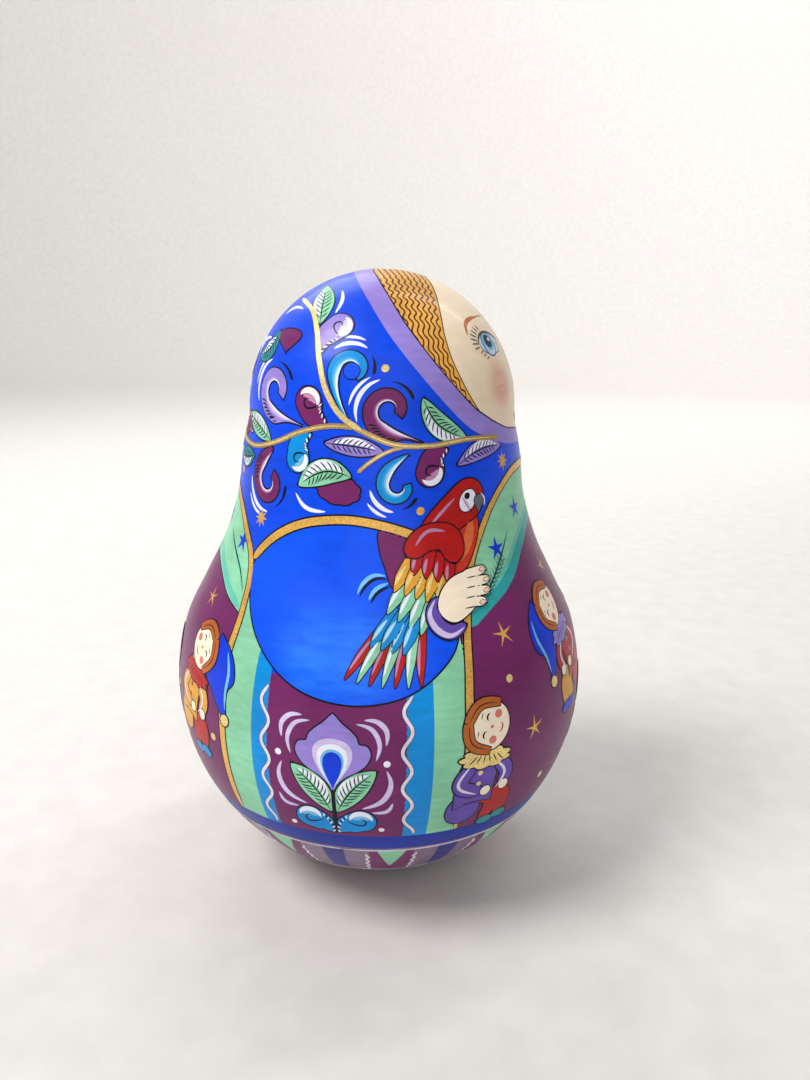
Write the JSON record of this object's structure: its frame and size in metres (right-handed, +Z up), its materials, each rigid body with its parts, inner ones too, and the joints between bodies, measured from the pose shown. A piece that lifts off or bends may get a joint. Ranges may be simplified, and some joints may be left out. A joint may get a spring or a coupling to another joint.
{
  "type": "roly-poly doll",
  "caption": "Turned wooden roly-poly doll with a round weighted base that rights itself, a painted lacquered surface and a chime struck by a hanging clapper inside.",
  "frame": {"origin": "the spot on the round base that the doll rests on, on the turning axis", "axes": "+Z up along the turning axis; the doll's face looks along -Y and its right side is -X"},
  "size_m": [0.102, 0.102, 0.15],
  "materials": {
    "painted_body": "hand-painted, glossy lacquer",
    "painted_base": "hand-painted, glossy lacquer",
    "ballast_iron": "as cast",
    "screw_steel": "zinc plated",
    "bridge_steel": "bent strip, satin",
    "wire_steel": "drawn wire",
    "rod_steel": "ground and polished",
    "chime_brass": "turned",
    "bob_brass": "polished"
  },
  "bodies": {
    "doll": {"body_shell": "painted_body", "base_cap": "painted_base", "ballast_weight": "ballast_iron", "ballast_screws": "screw_steel", "chime_head": "chime_brass", "chime_head_bolt": "screw_steel", "chime_rod_1": "rod_steel", "chime_rod_2": "rod_steel", "chime_rod_3": "rod_steel", "chime_rod_4": "rod_steel", "chime_rod_5": "rod_steel", "chime_rod_6": "rod_steel", "hanger_bridge": "bridge_steel", "bridge_screws": "screw_steel", "suspension_pin": "wire_steel"},
    "link": {"suspension_ring": "wire_steel"},
    "clapper": {"clapper_stem": "wire_steel", "clapper_bob": "bob_brass", "clapper_nut": "screw_steel"}
  },
  "joints": [
    {"name": "ring_swing", "type": "hinge", "parent": "doll", "child": "link", "pos_m": [0, 0, 0.073], "axis": [1, 0, 0], "range_deg": [-11, 11]},
    {"name": "clapper_swing", "type": "hinge", "parent": "link", "child": "clapper", "pos_m": [0, 0, 0.06908], "axis": [0, 1, 0], "range_deg": [-12, 12]}
  ]
}
